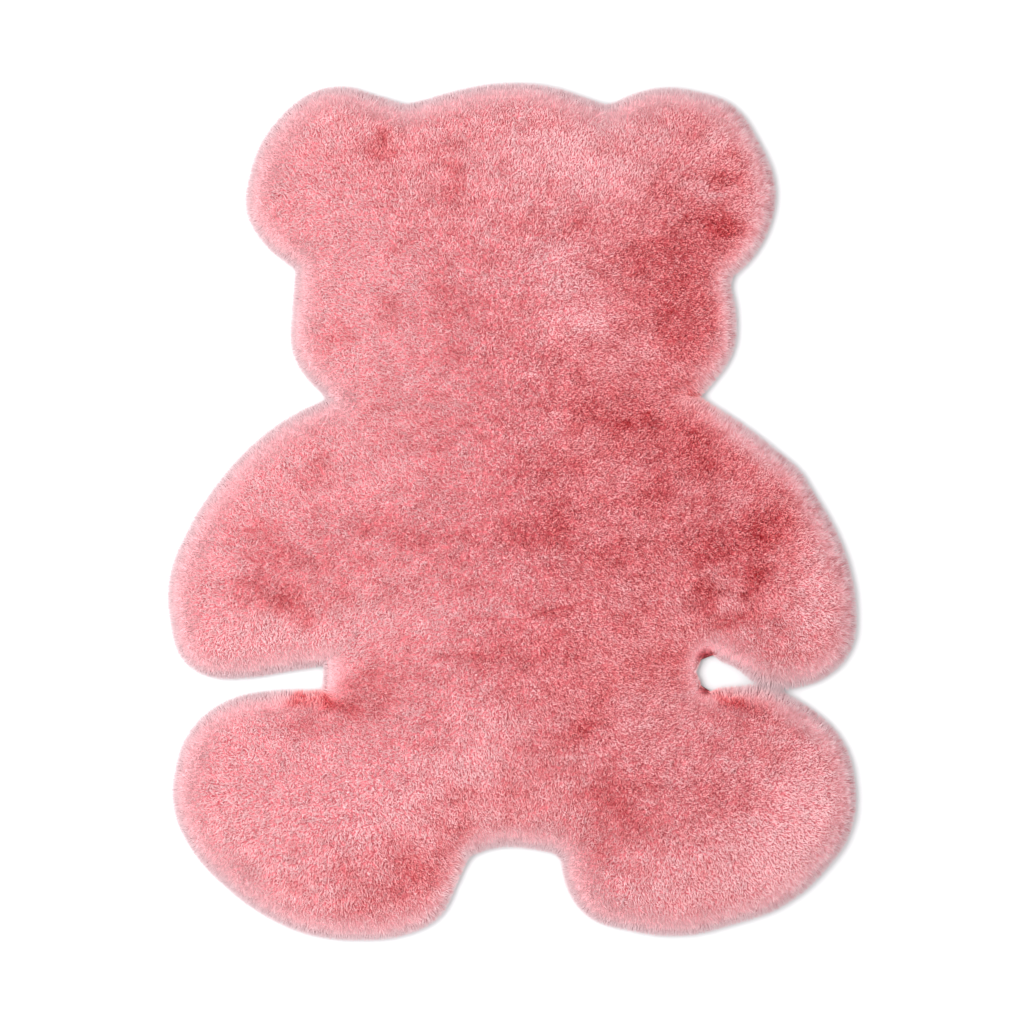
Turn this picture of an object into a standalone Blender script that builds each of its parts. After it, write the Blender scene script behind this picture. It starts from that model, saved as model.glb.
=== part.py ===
"""A plush floor mat cut in the plain outline of a teddy bear, lying flat with its pile up.

It is one piece of long-pile fur cloth, so it is one solid: flat underneath, rounded at the rim,
lumpy on top where the pile is stroked apart, with short locks of pile leaning out all round.
It is 0.80 m from head to feet. The origin is under its middle, +Y runs to the head and +Z is up.
"""

import math

import bmesh
import bpy
import numpy as np
from mathutils import Vector
from mathutils.bvhtree import BVHTree

PILE_HEIGHT = 0.024  # ground cloth and standing pile together
LOCK_REACH = 0.004  # how far the locks stand out of the rim
LOCK_PITCH = 0.0114  # one lock to this length of rim
LOCK_DROOP = 0.0012  # how far a lock's tip hangs below its root
LOCK_LENGTHS = (1.0, 0.55, 0.8, 0.4, 0.95, 0.65, 0.9)  # shares of LOCK_REACH, taken in turn
LOCK_CLEARANCE = 0.0095  # no lock where the rim opposite is nearer than this
TOP_PITCH = 0.0125  # spacing of the points that carry the lumps of the top
TOP_SNAP = 0.0016  # a grid line goes through a point this near to it
HAIR = 1e-5  # a distance that counts as none

# The rim's section: a low upright band that carries the locks, and the slopes in from it.
BAND_BOTTOM = 0.003
BAND_TOP = 0.009
UNDERCUT = 0.006  # from the band in to the edge of the flat underside
SHOULDER = (  # (distance in from the band, height)
    (0.004, 0.0155),
    (0.012, 0.0210),
    (0.024, PILE_HEIGHT),
)

SMOOTH, CORNER = "AUTO", "VECTOR"

# The outline, clockwise from the valley between the left ear and the head: (x, y, kind of point).
OUTLINE = {
    "head": (
        (-0.099, 0.380, CORNER),
        (-0.077, 0.386, SMOOTH),
        (-0.048, 0.394, SMOOTH),
        (-0.008, 0.400, SMOOTH),
        (0.036, 0.397, SMOOTH),
        (0.067, 0.387, SMOOTH),
    ),
    "right ear": (
        (0.090, 0.379, CORNER),
        (0.116, 0.391, SMOOTH),
        (0.146, 0.396, SMOOTH),
        (0.173, 0.392, SMOOTH),
        (0.204, 0.381, SMOOTH),
        (0.229, 0.347, SMOOTH),
        (0.245, 0.306, SMOOTH),
        (0.241, 0.270, SMOOTH),
        (0.222, 0.235, SMOOTH),
    ),
    "right cheek": (
        (0.202, 0.217, CORNER),
        (0.209, 0.182, SMOOTH),
        (0.205, 0.147, SMOOTH),
        (0.189, 0.123, SMOOTH),
    ),
    "right arm": (
        (0.175, 0.107, CORNER),
        (0.213, 0.083, SMOOTH),
        (0.254, 0.051, SMOOTH),
        (0.269, 0.038, SMOOTH),
        (0.279, 0.021, SMOOTH),
        (0.300, -0.014, SMOOTH),
        (0.315, -0.053, SMOOTH),
        (0.321, -0.092, SMOOTH),
        (0.317, -0.127, SMOOTH),
        (0.299, -0.150, SMOOTH),
        (0.273, -0.162, SMOOTH),
        (0.240, -0.162, SMOOTH),
        (0.210, -0.148, SMOOTH),
    ),
    "right foot": (
        (0.183, -0.135, CORNER),
        (0.174, -0.150, SMOOTH),
        (0.182, -0.166, CORNER),
        (0.212, -0.164, SMOOTH),
        (0.240, -0.166, SMOOTH),
        (0.286, -0.190, SMOOTH),
        (0.309, -0.216, SMOOTH),
        (0.320, -0.256, SMOOTH),
        (0.316, -0.298, SMOOTH),
        (0.292, -0.335, SMOOTH),
        (0.251, -0.369, SMOOTH),
        (0.207, -0.385, SMOOTH),
        (0.157, -0.396, SMOOTH),
        (0.105, -0.390, SMOOTH),
        (0.074, -0.380, SMOOTH),
        (0.054, -0.357, SMOOTH),
    ),
    "between the feet": (
        (0.045, -0.320, CORNER),
        (0.020, -0.315, SMOOTH),
        (-0.011, -0.313, SMOOTH),
        (-0.028, -0.317, SMOOTH),
    ),
    "left foot": (
        (-0.041, -0.322, CORNER),
        (-0.053, -0.349, SMOOTH),
        (-0.068, -0.378, SMOOTH),
        (-0.100, -0.395, SMOOTH),
        (-0.145, -0.400, SMOOTH),
        (-0.189, -0.395, SMOOTH),
        (-0.226, -0.380, SMOOTH),
        (-0.268, -0.350, SMOOTH),
        (-0.299, -0.316, SMOOTH),
        (-0.316, -0.277, SMOOTH),
        (-0.314, -0.238, SMOOTH),
        (-0.300, -0.204, SMOOTH),
        (-0.268, -0.178, SMOOTH),
        (-0.225, -0.168, SMOOTH),
    ),
    "left arm": (
        (-0.179, -0.167, CORNER),
        (-0.176, -0.144, CORNER),
        (-0.211, -0.149, SMOOTH),
        (-0.250, -0.155, SMOOTH),
        (-0.286, -0.153, SMOOTH),
        (-0.308, -0.138, SMOOTH),
        (-0.319, -0.105, SMOOTH),
        (-0.320, -0.062, SMOOTH),
        (-0.302, -0.016, SMOOTH),
        (-0.279, 0.021, SMOOTH),
        (-0.248, 0.057, SMOOTH),
        (-0.213, 0.085, SMOOTH),
    ),
    "left cheek": (
        (-0.171, 0.106, CORNER),
        (-0.189, 0.122, SMOOTH),
        (-0.205, 0.149, SMOOTH),
        (-0.205, 0.190, SMOOTH),
    ),
    "left ear": (
        (-0.202, 0.227, CORNER),
        (-0.230, 0.249, SMOOTH),
        (-0.249, 0.284, SMOOTH),
        (-0.246, 0.310, SMOOTH),
        (-0.238, 0.337, SMOOTH),
        (-0.223, 0.361, SMOOTH),
        (-0.190, 0.390, SMOOTH),
        (-0.158, 0.397, SMOOTH),
        (-0.128, 0.389, SMOOTH),
    ),
}

# Where the pile is stroked down or apart: (x, y, radius, depth).
HOLLOWS = (
    (-0.125, 0.338, 0.024, 0.0030),  # left ear
    (-0.070, 0.305, 0.034, 0.0025),  # head
    (-0.078, 0.225, 0.036, 0.0025),
    (0.060, 0.265, 0.032, 0.0020),
    (0.197, 0.285, 0.034, 0.0040),  # right ear
    (0.150, 0.215, 0.058, 0.0040),  # right cheek
    (0.125, 0.080, 0.050, 0.0040),  # right shoulder
    (0.228, -0.035, 0.048, 0.0045),  # right arm
    (0.030, -0.015, 0.060, 0.0030),  # chest
    (-0.110, -0.020, 0.045, 0.0025),
    (-0.226, -0.070, 0.034, 0.0040),  # left arm
    (-0.182, -0.190, 0.022, 0.0030),  # left foot
    (-0.095, -0.330, 0.034, 0.0025),
    (0.225, -0.195, 0.026, 0.0030),  # right foot
    (0.092, -0.285, 0.040, 0.0030),
)

# The parting that crosses the belly: its points (x, y), half width and depth.
PARTING = ((-0.039, -0.099), (0.013, -0.100), (0.040, -0.091), (0.073, -0.083))
PARTING_WIDTH = 0.009
PARTING_DEPTH = 0.0035

# Long, low swells of the pile: (height, wavelength, heading in degrees, phase in degrees).
SWELLS = (
    (0.0008, 0.110, 25, 40),
    (0.0007, 0.083, 110, 200),
    (0.0006, 0.052, 65, 310),
)

PILE_COLOUR = "E38487"


def clear_scene():
    for obj in list(bpy.data.objects):
        bpy.data.objects.remove(obj, do_unlink=True)


def linear(srgb_hex):
    """A colour written as sRGB hex, in the linear values that materials take."""
    shares = [int(srgb_hex[i : i + 2], 16) / 255 for i in (0, 2, 4)]
    return [s / 12.92 if s <= 0.04045 else ((s + 0.055) / 1.055) ** 2.4 for s in shares] + [1.0]


def pile_material():
    material = bpy.data.materials.new("pink_fur_pile")
    material.use_nodes = True
    surface = material.node_tree.nodes["Principled BSDF"]
    surface.inputs["Base Color"].default_value = linear(PILE_COLOUR)
    surface.inputs["Roughness"].default_value = 0.95
    surface.inputs["Metallic"].default_value = 0.0
    return material


def new_collection(name):
    collection = bpy.data.collections.new(name)
    bpy.context.scene.collection.children.link(collection)
    return collection


def outline_guide(collection):
    """The outline as a smooth closed curve, kept as a guide."""
    curve = bpy.data.curves.new("outline_guide", "CURVE")
    curve.dimensions = "2D"
    curve.fill_mode = "NONE"
    curve.resolution_u = 16
    anchors = [anchor for stretch in OUTLINE.values() for anchor in stretch]
    spline = curve.splines.new("BEZIER")
    spline.bezier_points.add(len(anchors) - 1)
    for point, (x, y, kind) in zip(spline.bezier_points, anchors):
        point.co = (x, y, 0)
        point.handle_left_type = point.handle_right_type = kind
    spline.use_cyclic_u = True
    guide = bpy.data.objects.new("outline_guide", curve)
    guide.hide_render = True
    guide.display_type = "WIRE"
    collection.objects.link(guide)
    return guide


def even_steps(guide, pitch):
    """Points along the guide at even steps of about the pitch, counter-clockwise."""
    graph = bpy.context.evaluated_depsgraph_get()
    fine = bpy.data.meshes.new_from_object(guide.evaluated_get(graph))
    ring = np.array([vertex.co[:] for vertex in fine.vertices])[::-1]
    bpy.data.meshes.remove(fine)
    ring = np.vstack([ring, ring[:1]])
    along = np.concatenate([[0], np.cumsum(np.linalg.norm(np.diff(ring, axis=0), axis=1))])
    steps = np.linspace(0, along[-1], round(along[-1] / pitch), endpoint=False)
    return np.column_stack([np.interp(steps, along, ring[:, axis]) for axis in range(3)])


def prism(bm, points):
    """An upright prism on the outline, drawn in so that the locks end half inside it and half outside it.

    Returns its top face.
    """
    outer = bm.faces.new([bm.verts.new(point) for point in points])
    outer.normal_update()
    bmesh.ops.inset_region(
        bm, faces=[outer], thickness=LOCK_REACH / 2, use_even_offset=True, use_boundary=True
    )
    spare = [face for face in bm.faces if face is not outer]
    bmesh.ops.delete(bm, geom=spare, context="FACES")
    bmesh.ops.translate(bm, verts=outer.verts, vec=(0, 0, BAND_BOTTOM))
    grown = bmesh.ops.extrude_face_region(bm, geom=[outer], use_keep_orig=True)["geom"]
    raised = [item for item in grown if isinstance(item, bmesh.types.BMVert)]
    bmesh.ops.translate(bm, verts=raised, vec=(0, 0, BAND_TOP - BAND_BOTTOM))
    bmesh.ops.recalc_face_normals(bm, faces=bm.faces)
    return max(bm.faces, key=lambda face: face.calc_center_median().z)


def step_in(bm, face, inward, outward):
    """Draws a face in from its edge and moves it along its normal, which leaves a sloping ring round it."""
    bmesh.ops.inset_region(bm, faces=[face], thickness=inward, depth=outward, use_even_offset=True)


def cut_grid(bm, top):
    """Cuts the flat top face into a grid of cells of TOP_PITCH, then into triangles."""
    height = top.calc_center_median().z
    reach = max(max(abs(v.co.x), abs(v.co.y)) for v in top.verts)
    lines = np.arange(-reach, reach, TOP_PITCH) + TOP_PITCH / 2
    for axis in (Vector((1, 0, 0)), Vector((0, 1, 0))):
        for line in lines:
            faces = flat_faces(bm, height)
            edges = dict.fromkeys(edge for face in faces for edge in face.edges)
            verts = dict.fromkeys(vert for face in faces for vert in face.verts)
            cut = [*verts, *edges, *faces]
            bmesh.ops.bisect_plane(bm, geom=cut, dist=TOP_SNAP, plane_co=axis * line, plane_no=axis)
    bmesh.ops.triangulate(bm, faces=flat_faces(bm, height))


def flat_faces(bm, height):
    """The level faces at a height."""
    return [face for face in bm.faces if all(abs(vert.co.z - height) < HAIR for vert in face.verts)]


def nearest_on_line(point, line):
    """How far the point is from a line of (x, y) points."""
    gaps = []
    for start, end in zip(line, line[1:]):
        start, end = Vector(start), Vector(end)
        share = (point - start).dot(end - start) / (end - start).length_squared
        gaps.append((point - start.lerp(end, min(max(share, 0), 1))).length)
    return min(gaps)


def lump(point):
    """How much higher or lower than even the pile stands at a point (x, y)."""
    height = 0
    for swell, wavelength, heading, phase in SWELLS:
        along = point.dot((math.cos(math.radians(heading)), math.sin(math.radians(heading))))
        height += swell * math.sin(2 * math.pi * along / wavelength + math.radians(phase))
    for x, y, radius, depth in HOLLOWS:
        height -= depth * math.exp(-(((point - Vector((x, y))).length / radius) ** 2))
    gap = nearest_on_line(point, PARTING)
    return height - PARTING_DEPTH * math.exp(-((gap / PARTING_WIDTH) ** 2))


def raise_lumps(bm):
    """Lifts and lowers the top by its lumps, fading out down the shoulder to nothing at the band."""
    for vert in bm.verts:
        share = (vert.co.z - BAND_TOP) / (PILE_HEIGHT - BAND_TOP)
        if share > 0:
            vert.co.z += share * lump(vert.co.xy)


def raise_locks(bm):
    """Draws the faces of the upright band out to points, but for those in a narrow gap."""
    band = [face for face in bm.faces if abs(face.normal.z) < HAIR]
    opposite = BVHTree.FromBMesh(bm)
    for number, face in enumerate(band):
        start = face.calc_center_median() + face.normal * HAIR
        if opposite.ray_cast(start, face.normal, LOCK_CLEARANCE)[0] is not None:
            continue
        reach = LOCK_REACH * LOCK_LENGTHS[number % len(LOCK_LENGTHS)]
        tip = bmesh.ops.poke(bm, faces=[face], offset=reach)["verts"][0]
        tip.co.z -= LOCK_DROOP


def centre(bm):
    """Moves the mesh so that its box has its middle over the origin."""
    spans = [(min(v.co[axis] for v in bm.verts), max(v.co[axis] for v in bm.verts)) for axis in (0, 1)]
    shift = [-(low + high) / 2 for low, high in spans]
    bmesh.ops.translate(bm, verts=bm.verts, vec=(*shift, 0))


def fur_mat(collection, guide):
    bm = bmesh.new()
    top = prism(bm, even_steps(guide, LOCK_PITCH))
    underside = min(bm.faces, key=lambda face: face.calc_center_median().z)
    step_in(bm, underside, UNDERCUT, BAND_BOTTOM)
    inward, height = 0, BAND_TOP
    for next_inward, next_height in SHOULDER:
        step_in(bm, top, next_inward - inward, next_height - height)
        inward, height = next_inward, next_height
    cut_grid(bm, top)
    raise_lumps(bm)
    raise_locks(bm)
    centre(bm)
    mesh = bpy.data.meshes.new("fur_mat")
    bm.to_mesh(mesh)
    bm.free()
    mesh.materials.append(pile_material())
    mat = bpy.data.objects.new("fur_mat", mesh)
    collection.objects.link(mat)
    return mat


def main():
    clear_scene()
    guide = outline_guide(new_collection("guides"))
    fur_mat(new_collection("bear_shaped_doormat"), guide)


main()
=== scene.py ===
"""Dresses the plush bear mat: its ground cloth with the dense underpile, and the long pile in tufts."""

import math

import bmesh
import bpy
import numpy as np
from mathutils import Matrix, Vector
from mathutils.bvhtree import BVHTree


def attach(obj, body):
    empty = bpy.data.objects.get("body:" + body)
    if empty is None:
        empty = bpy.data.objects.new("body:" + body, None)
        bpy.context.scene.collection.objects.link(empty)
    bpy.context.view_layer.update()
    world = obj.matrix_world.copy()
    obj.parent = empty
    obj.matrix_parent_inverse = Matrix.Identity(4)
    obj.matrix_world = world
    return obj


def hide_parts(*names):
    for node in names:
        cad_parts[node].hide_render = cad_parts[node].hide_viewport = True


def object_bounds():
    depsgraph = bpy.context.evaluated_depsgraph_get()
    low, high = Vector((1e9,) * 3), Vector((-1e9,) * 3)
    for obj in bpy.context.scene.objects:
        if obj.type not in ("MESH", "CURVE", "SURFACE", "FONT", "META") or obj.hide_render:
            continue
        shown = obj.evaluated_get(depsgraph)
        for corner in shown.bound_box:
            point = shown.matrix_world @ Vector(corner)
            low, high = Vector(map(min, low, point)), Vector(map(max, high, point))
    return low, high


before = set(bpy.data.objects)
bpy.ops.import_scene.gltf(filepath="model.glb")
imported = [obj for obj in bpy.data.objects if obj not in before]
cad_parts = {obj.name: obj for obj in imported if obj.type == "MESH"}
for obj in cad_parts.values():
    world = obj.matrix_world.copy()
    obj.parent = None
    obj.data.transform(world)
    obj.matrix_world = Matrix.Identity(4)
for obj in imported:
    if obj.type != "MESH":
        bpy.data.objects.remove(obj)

cad_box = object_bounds()

MM = 0.001
FLAT = 1e-5  # a height that counts as none
AT_ONCE = 4000  # how many points are measured against the whole edge at a time
MAT = "fur_mat"

# The cloth as cut.
CUT_WIDTH = 0.644
CLOTH_EDGE = 1.2 * MM  # thickness of the ground cloth at its cut edge

# The underpile: the dense lower part of the pile, from which the long hairs rise.
UNDERPILE_DEPTH = 5 * MM  # how far it lies below the tips of the pile
UNDERPILE_ROLL = 17 * MM  # width over which it rounds off to the rim
BULGE = 5.5 * MM  # how far it stands out over the cut edge
BULGE_HEIGHT = 4.5 * MM  # height of its widest line
FOLLOWED = 6 * MM  # how far down from the mat's full height it follows the solid's top
LUMP_HEIGHT = 2 * MM  # how far the mat's highest lumps stand over its common height
UNDERPILE_CELL = 5 * MM
GRID_SHORT = 0.45  # the share of a cell by which its grid stops short of its widest line
UNDERPILE_LUMP = 7 * MM  # how far apart its own small lumps are
UNDERPILE_BUMP = 0.6 * MM  # and how high

# The tufts of long pile.
TUFT_PITCH = 1.45 * MM
TUFT_OFF = 0.42  # how far a tuft may stand off its place in the rows, as a share of the pitch
TUFT_MARGIN = 1.5 * MM  # how far in from the underpile's widest line the rows begin
TUFT_WIDTH = 1.32 * MM
TUFT_WIDTHS = (0.75, 1.2)  # the slimmest and the widest, as shares of that
TUFT_FLATNESS = 0.6  # its thickness, as a share of its width
TUFT_ROLL = 0.7  # how far it may be rolled about its own line to either side, in radians
TUFT_LENGTH = 7.5 * MM
TUFT_LENGTHS = (0.86, 1.05)  # the shortest and the longest, as shares of that
TUFT_SUNK = 1.2 * MM  # how deep its root stands in the underpile
ROOT_LOWEST = 0.7 * MM
TIP_LOWEST = 0.5 * MM
PILE_PIECES = ("pile_ears", "pile_cheeks", "pile_arms", "pile_belly", "pile_feet")  # from the head down

# How the pile leans, in degrees from upright.
LEAN_INSIDE = 24
LEAN_PARTED = 14
LEAN_RIM = 88
LEAN_SPREAD = 9
LEAN_LIMITS = (2, 90)
TURN_SPREAD = 38  # how far a tuft turns aside from its lock's own way
RIM_CALM = 0.8  # the share of both spreads that is lost at the rim

# Neighbouring tufts draw together at their tips in small locks, and each lock leans a way of its own.
LOCK_PITCH = 2.8 * MM
LOCK_OFF = (0.1, 0.9)  # where in its cell a lock's middle may lie
LOCK_PULL = 0.25
LOCK_WILL = 0.36  # how strongly, as a share of the longest pull from an edge

# The rim, where the pile turns from its own lie to straight out over the cut edge.
RIM_WIDTH = 14 * MM
RIM_STRAIGHT = 2 * MM  # how far in its hairs all lie straight out
RIM_EVEN = 5 * MM  # how far in the fray that follows has grown to its full amount
RIM_FRAY = 9 * MM  # how much farther in it starts in one lock than in another
PALE_WIDTH = 24 * MM  # its pale colour, painted sheen of the hairs lying out over the rim, fades out farther in
SHEEN_TOWARDS_LIGHT = 0.2  # painted light: the pale rim is that much wider on the left, towards the soft box, and narrower on the right
PALE_WAVER = (26 * MM, 0.3)  # how that width wavers along the edge: pitch and share
PALE_FRAY = 0.8  # how much paler it is in one lock than in another
PALE_YIELDS = 1.4  # how readily that painted sheen gives way to a patch of the nap's painted shade
RIM_TUFT_LENGTH = 5.8 * MM
RIM_TUFT_WIDTH = 1.1 * MM
RIM_PITCH = 1.15 * MM
RIM_OFF = 0.4  # how far a hair may stand off its place in the row, as a share of the pitch
RIM_ROWS = (2.2 * MM, 3.2 * MM, 4.2 * MM, 5.2 * MM, 6.2 * MM, 7.3 * MM, 8.5 * MM)  # their heights
RIM_ROW_SPREAD = 0.6 * MM  # how far above or below its row a hair may stand

# The shade of the single hairs, from 0, deep, to 1, pale: their own tone, with painted shade where the
# pile is parted and painted sheen where it is stroked flat or lies at the rim.
SHADE_LAID = 0.88
PARTED_PAINTED_SHADE = -0.33  # painted shade: what parted pile adds to that
GRAIN_LAID = 0.1  # how much one hair differs from another
GRAIN_PARTED = 1.8  # what parted pile adds to that
LOCK_SHARE = 0.6  # the share of this difference that a whole lock has in common
RIM_PAINTED_LIGHT = (1.0, 0.64)  # painted light at the rim: the outermost hairs painted brightest, those farther in dimmer
RIM_PAINTED_LIGHT_FADE = (-4 * MM, 5 * MM)  # where the first ends and the second begins, measured in from the cut edge
RIM_GRAIN = 1.7  # how much they differ on the right, where the combed nap is ruffled up
RIM_SHARE = 0.85  # how far the rim's painted light and sheen take the place of a hair's own shade

# How the nap shows: where it stands up, the tufts lean less and are painted deep coral, painted shade down
# in
# the pile, or, below 0, where it is stroked flat, painted pale, painted sheen on the hairs' sides:
# (x, y, reach across, reach along, how strongly).
NAP = (
    # head
    (-0.118, 0.343, 0.011, 0.010, 0.50),
    (-0.130, 0.333, 0.030, 0.025, 0.28),
    (-0.055, 0.320, 0.014, 0.028, 0.24),
    (-0.060, 0.294, 0.030, 0.012, 0.12),
    (-0.096, 0.252, 0.014, 0.020, 0.26),
    (-0.065, 0.220, 0.014, 0.035, 0.12),
    (-0.165, 0.160, 0.013, 0.012, 0.40),
    (-0.110, 0.190, 0.012, 0.022, 0.20),
    (0.045, 0.360, 0.035, 0.010, 0.15),
    (0.020, 0.264, 0.034, 0.012, 0.12),
    (0.067, 0.265, 0.022, 0.014, 0.20),
    (0.010, 0.150, 0.022, 0.050, 0.08),
    (-0.035, 0.185, 0.022, 0.014, 0.15),
    (0.062, 0.092, 0.030, 0.014, 0.32),
    (-0.055, 0.150, 0.018, 0.032, 0.14),
    (-0.030, 0.078, 0.035, 0.010, 0.18),
    (0.035, 0.332, 0.045, 0.024, -0.26),
    (-0.028, 0.340, 0.012, 0.026, 0.06),
    (0.080, 0.355, 0.040, 0.018, -0.26),
    (0.085, 0.310, 0.030, 0.018, -0.25),
    (0.045, 0.225, 0.040, 0.024, -0.20),
    (0.065, 0.180, 0.032, 0.018, -0.20),
    (0.105, 0.180, 0.020, 0.012, 0.20),
    (0.106, 0.230, 0.020, 0.024, 0.34),
    (-0.095, 0.150, 0.008, 0.060, -0.20),
    (-0.190, 0.275, 0.040, 0.050, -0.22),
    (-0.140, 0.215, 0.050, 0.024, -0.14),
    (-0.135, 0.130, 0.026, 0.020, -0.20),
    (-0.120, 0.222, 0.040, 0.018, -0.18),
    (-0.160, 0.150, 0.040, 0.040, -0.15),
    (-0.105, 0.110, 0.020, 0.014, 0.15),
    (-0.130, 0.250, 0.050, 0.060, -0.15),
    # right ear and cheek
    (0.172, 0.362, 0.012, 0.012, 0.12),
    (0.196, 0.345, 0.012, 0.030, -0.20),
    (0.130, 0.340, 0.030, 0.018, -0.10),
    (0.146, 0.296, 0.020, 0.014, 0.34),
    (0.192, 0.308, 0.018, 0.007, 0.55),
    (0.180, 0.296, 0.020, 0.006, -0.25),
    (0.192, 0.271, 0.025, 0.018, 0.52),
    (0.216, 0.326, 0.014, 0.020, 0.22),
    (0.162, 0.238, 0.042, 0.030, 0.46),
    (0.150, 0.190, 0.040, 0.026, 0.42),
    (0.155, 0.158, 0.022, 0.014, 0.35),
    (0.186, 0.160, 0.014, 0.030, 0.22),
    (0.168, 0.110, 0.024, 0.028, 0.28),
    (0.105, 0.112, 0.050, 0.014, 0.10),
    (0.174, 0.108, 0.012, 0.012, 0.30),
    (0.065, 0.128, 0.016, 0.020, 0.16),
    # shoulders and chest
    (0.105, 0.040, 0.110, 0.120, 0.14),
    (-0.140, 0.060, 0.030, 0.034, -0.10),
    (-0.215, 0.030, 0.046, 0.020, -0.20),
    (0.112, 0.080, 0.034, 0.024, 0.45),
    (0.168, 0.064, 0.030, 0.020, 0.40),
    (0.180, 0.040, 0.016, 0.012, 0.40),
    (0.217, 0.037, 0.011, 0.010, 0.30),
    (0.128, 0.022, 0.024, 0.018, 0.20),
    (0.168, 0.012, 0.014, 0.010, -0.15),
    (0.190, 0.010, 0.020, 0.020, 0.20),
    (0.218, 0.010, 0.018, 0.016, -0.20),
    (0.150, 0.020, 0.060, 0.014, 0.22),
    (0.045, 0.014, 0.030, 0.012, 0.18),
    (0.035, 0.044, 0.042, 0.016, 0.22),
    (0.030, -0.017, 0.034, 0.020, 0.50),
    (-0.120, -0.015, 0.034, 0.014, 0.18),
    (-0.060, -0.022, 0.045, 0.010, 0.22),
    (-0.180, 0.036, 0.018, 0.014, 0.38),
    (0.095, -0.042, 0.030, 0.012, 0.30),
    # left arm
    (-0.235, -0.016, 0.010, 0.010, 0.35),
    (-0.220, -0.042, 0.024, 0.014, 0.34),
    (-0.240, -0.067, 0.014, 0.009, 0.45),
    (-0.176, -0.120, 0.030, 0.016, -0.32),
    (-0.210, -0.081, 0.024, 0.015, 0.42),
    (-0.214, -0.101, 0.018, 0.012, 0.20),
    (-0.165, -0.034, 0.020, 0.012, 0.18),
    (-0.286, -0.040, 0.016, 0.040, -0.20),
    (-0.265, -0.118, 0.050, 0.026, -0.34),
    (-0.190, -0.068, 0.034, 0.026, 0.15),
    (-0.085, -0.030, 0.050, 0.030, 0.08),
    # right arm
    (0.205, -0.036, 0.052, 0.018, 0.40),
    (0.238, -0.006, 0.028, 0.024, 0.50),
    (0.150, -0.010, 0.045, 0.010, 0.10),
    (0.227, -0.063, 0.016, 0.011, 0.60),
    (0.178, -0.074, 0.016, 0.024, 0.35),
    (0.215, -0.099, 0.026, 0.008, 0.30),
    (0.205, -0.085, 0.012, 0.008, -0.25),
    (0.258, -0.136, 0.018, 0.010, 0.08),
    (0.262, -0.108, 0.024, 0.018, -0.18),
    (0.286, -0.050, 0.020, 0.070, -0.28),
    # belly
    (0.090, -0.090, 0.100, 0.060, 0.18),
    (0.145, -0.136, 0.034, 0.024, 0.28),
    (0.042, -0.172, 0.034, 0.030, 0.15),
    (-0.030, -0.132, 0.024, 0.013, 0.22),
    (-0.060, -0.100, 0.050, 0.024, -0.15),
    (0.020, -0.128, 0.045, 0.020, 0.28),
    (0.092, -0.166, 0.018, 0.014, 0.30),
    (0.118, -0.150, 0.022, 0.022, 0.15),
    (0.020, -0.243, 0.024, 0.012, 0.20),
    (0.075, -0.187, 0.015, 0.015, 0.32),
    (0.060, -0.208, 0.015, 0.014, 0.32),
    (0.042, -0.226, 0.016, 0.012, 0.22),
    (-0.125, -0.155, 0.022, 0.016, 0.25),
    (-0.040, -0.214, 0.024, 0.034, -0.12),
    (0.000, -0.265, 0.050, 0.016, 0.14),
    # left foot
    (-0.198, -0.176, 0.034, 0.012, 0.75),
    (-0.140, -0.180, 0.022, 0.020, 0.26),
    (-0.164, -0.174, 0.014, 0.014, 0.45),
    (-0.090, -0.330, 0.020, 0.026, 0.42),
    (-0.130, -0.350, 0.044, 0.020, 0.24),
    (-0.170, -0.260, 0.070, 0.040, -0.48),
    (-0.190, -0.206, 0.050, 0.014, 0.22),
    (-0.148, -0.314, 0.040, 0.018, 0.24),
    (-0.258, -0.230, 0.050, 0.050, -0.52),
    (-0.050, -0.318, 0.014, 0.040, 0.40),
    (-0.062, -0.345, 0.018, 0.030, 0.15),
    (-0.110, -0.378, 0.050, 0.012, 0.18),
    # right foot
    (0.208, -0.174, 0.026, 0.013, 0.68),
    (0.166, -0.158, 0.016, 0.018, 0.30),
    (0.184, -0.174, 0.012, 0.010, 0.30),
    (0.226, -0.180, 0.016, 0.008, 0.20),
    (0.240, -0.204, 0.036, 0.010, -0.15),
    (0.238, -0.216, 0.024, 0.014, 0.26),
    (0.245, -0.242, 0.022, 0.016, -0.20),
    (0.262, -0.290, 0.024, 0.016, -0.10),
    (0.100, -0.264, 0.030, 0.024, 0.42),
    (0.100, -0.296, 0.034, 0.022, 0.15),
    (0.190, -0.274, 0.026, 0.014, 0.10),
    (0.240, -0.330, 0.060, 0.050, -0.30),
    (0.285, -0.275, 0.024, 0.060, -0.45),
    (0.125, -0.350, 0.060, 0.024, -0.24),
)
NAP_EVEN = 0.16  # how far it stands up where the table says nothing
STROKED_PAINTED_SHEEN = 1.2  # painted sheen: how pale it is painted where it is stroked flat
NAP_AND_SHADE_ACROSS = 0.16  # how much farther it stands up on the right and less on the left: painted shade, darker away from the soft box
NAP_ROUGH = ((46, 20, 0.06), (22, 9, 0.09), (11, 6, 0.12))  # its patches: width and height in mm, strength
NAP_SPECKLE = (3 * MM, 0.12)  # how it changes from lock to lock: pitch and strength
NAP_FRAY = ((24 * MM, 8 * MM), (9 * MM, 5 * MM))  # how the table's spots fray: pitch and reach

# The parting that crosses the belly.
PARTING = ((-0.039, -0.099), (0.013, -0.100), (0.040, -0.091), (0.073, -0.083))
PARTING_WIDTH = 2.2 * MM
PARTING_PUSH = 1.0
# How far the parting stands the pile up and paints it with the nap's painted shade, the shade in its
# crease.
PARTING_RISE_AND_SHADE = 0.35

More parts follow.
